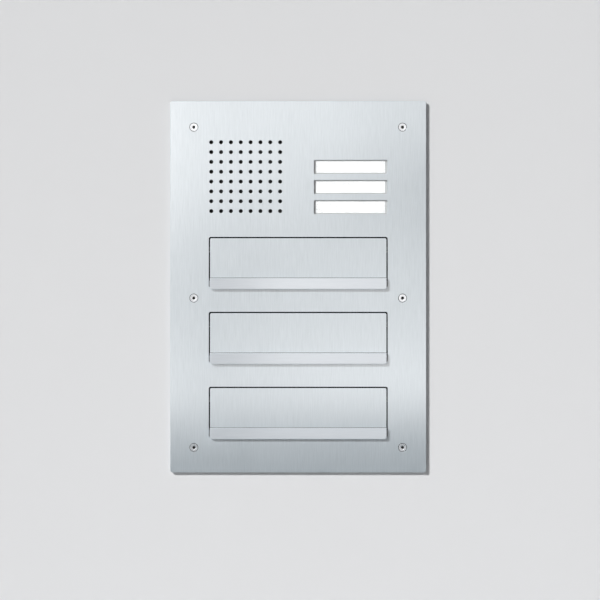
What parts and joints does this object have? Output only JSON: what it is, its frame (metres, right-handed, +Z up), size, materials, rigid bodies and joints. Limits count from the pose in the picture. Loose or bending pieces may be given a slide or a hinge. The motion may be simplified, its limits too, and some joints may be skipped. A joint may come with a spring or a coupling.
{
  "type": "door intercom panel",
  "caption": "Flush steel door station with a speech grille, bell buttons with blank name plates and top-hinged letter flaps over chutes in a wall box.",
  "frame": {"origin": "middle of the panel on the wall's face, where the seal meets the wall", "axes": "+X to the right as seen from the street, +Y into the wall, +Z up; the front faces -Y"},
  "size_m": [0.3754, 0.1303, 0.545],
  "materials": {
    "panel_steel": "fine vertical brushing, satin",
    "grip_steel": "fine brushing along the strip, satin",
    "screw_steel": "turned stainless steel",
    "seal_rubber": "matt black rubber",
    "foam": "closed-cell foam",
    "box_steel": "galvanised sheet with a soft spangle",
    "chute_steel": "mill-finish stainless sheet",
    "zinc_steel": "zinc plated",
    "spring_steel": "drawn spring wire",
    "pin_steel": "ground rod",
    "bush_plastic": "natural acetal",
    "case_plastic": "moulded with a fine texture",
    "mesh_black": "black woven wire",
    "basket_metal": "black coated steel",
    "cone_paper": "pressed pulp",
    "magnet": "sintered ferrite with zinc plates",
    "microphone_metal": "drawn can",
    "board_green": "solder mask",
    "component_black": "moulded packages",
    "terminal_green": "moulded nylon",
    "lamp": "clear lens over a white chip",
    "gland_plastic": "moulded nylon",
    "cap_grey": "light grey, finely textured",
    "label_paper": "blank white card",
    "window_clear": "clear acrylic, polished"
  },
  "bodies": {
    "station": {"front_panel": "panel_steel", "panel_gasket": "seal_rubber", "panel_screws": "screw_steel", "wall_box": "box_steel", "box_divider": "box_steel", "rivet_nuts": "zinc_steel", "letter_chute_1": "chute_steel", "letter_chute_2": "chute_steel", "letter_chute_3": "chute_steel", "hinge_bushes": "bush_plastic", "flap_buffers": "seal_rubber", "stud_nuts": "zinc_steel", "small_nuts": "zinc_steel", "intercom_case": "case_plastic", "grille_mesh": "mesh_black", "speaker_gasket": "foam", "speaker_basket": "basket_metal", "speaker_surround": "seal_rubber", "speaker_cone": "cone_paper", "speaker_dust_cap": "cone_paper", "speaker_magnet": "magnet", "microphone": "microphone_metal", "microphone_boot": "seal_rubber", "button_frame": "case_plastic", "circuit_board": "board_green", "board_components": "component_black", "terminal_block": "terminal_green", "terminal_screws": "zinc_steel", "bell_switches": "component_black", "backlight_leds": "lamp", "gland_body": "gland_plastic", "gland_cap": "gland_plastic", "gland_locknut": "gland_plastic", "button_springs_1": "spring_steel", "button_springs_2": "spring_steel", "button_springs_3": "spring_steel", "flap_springs_1": "spring_steel", "flap_springs_2": "spring_steel", "flap_springs_3": "spring_steel"},
    "button_1": {"button_cap_1": "cap_grey", "name_label_1": "label_paper", "label_window_1": "window_clear", "switch_plunger_1": "component_black"},
    "button_2": {"button_cap_2": "cap_grey", "name_label_2": "label_paper", "label_window_2": "window_clear", "switch_plunger_2": "component_black"},
    "button_3": {"button_cap_3": "cap_grey", "name_label_3": "label_paper", "label_window_3": "window_clear", "switch_plunger_3": "component_black"},
    "flap_1": {"flap_plate_1": "panel_steel", "flap_grip_1": "grip_steel", "hinge_pin_1": "pin_steel"},
    "flap_2": {"flap_plate_2": "panel_steel", "flap_grip_2": "grip_steel", "hinge_pin_2": "pin_steel"},
    "flap_3": {"flap_plate_3": "panel_steel", "flap_grip_3": "grip_steel", "hinge_pin_3": "pin_steel"}
  },
  "joints": [
    {"name": "flap_1_hinge", "type": "hinge", "parent": "station", "child": "flap_1", "pos_m": [0, 0.0018, 0.0554], "axis": [-1, 0, 0], "range_deg": [0, 80], "stiffness_Nm_per_rad": 0.05, "springref_deg": -20.05, "deforming": ["flap_springs_1"]},
    {"name": "flap_2_hinge", "type": "hinge", "parent": "station", "child": "flap_2", "pos_m": [0, 0.0018, -0.0546], "axis": [-1, 0, 0], "range_deg": [0, 80], "stiffness_Nm_per_rad": 0.05, "springref_deg": -20.05, "deforming": ["flap_springs_2"]},
    {"name": "flap_3_hinge", "type": "hinge", "parent": "station", "child": "flap_3", "pos_m": [0, 0.0018, -0.1646], "axis": [-1, 0, 0], "range_deg": [0, 80], "stiffness_Nm_per_rad": 0.05, "springref_deg": -20.05, "deforming": ["flap_springs_3"]},
    {"name": "button_1_press", "type": "slide", "parent": "station", "child": "button_1", "axis": [0, 1, 0], "range_m": [0, 0.0012], "stiffness_N_per_m": 1200, "springref_m": -0.0008, "deforming": ["button_springs_1"]},
    {"name": "button_2_press", "type": "slide", "parent": "station", "child": "button_2", "axis": [0, 1, 0], "range_m": [0, 0.0012], "stiffness_N_per_m": 1200, "springref_m": -0.0008, "deforming": ["button_springs_2"]},
    {"name": "button_3_press", "type": "slide", "parent": "station", "child": "button_3", "axis": [0, 1, 0], "range_m": [0, 0.0012], "stiffness_N_per_m": 1200, "springref_m": -0.0008, "deforming": ["button_springs_3"]}
  ]
}
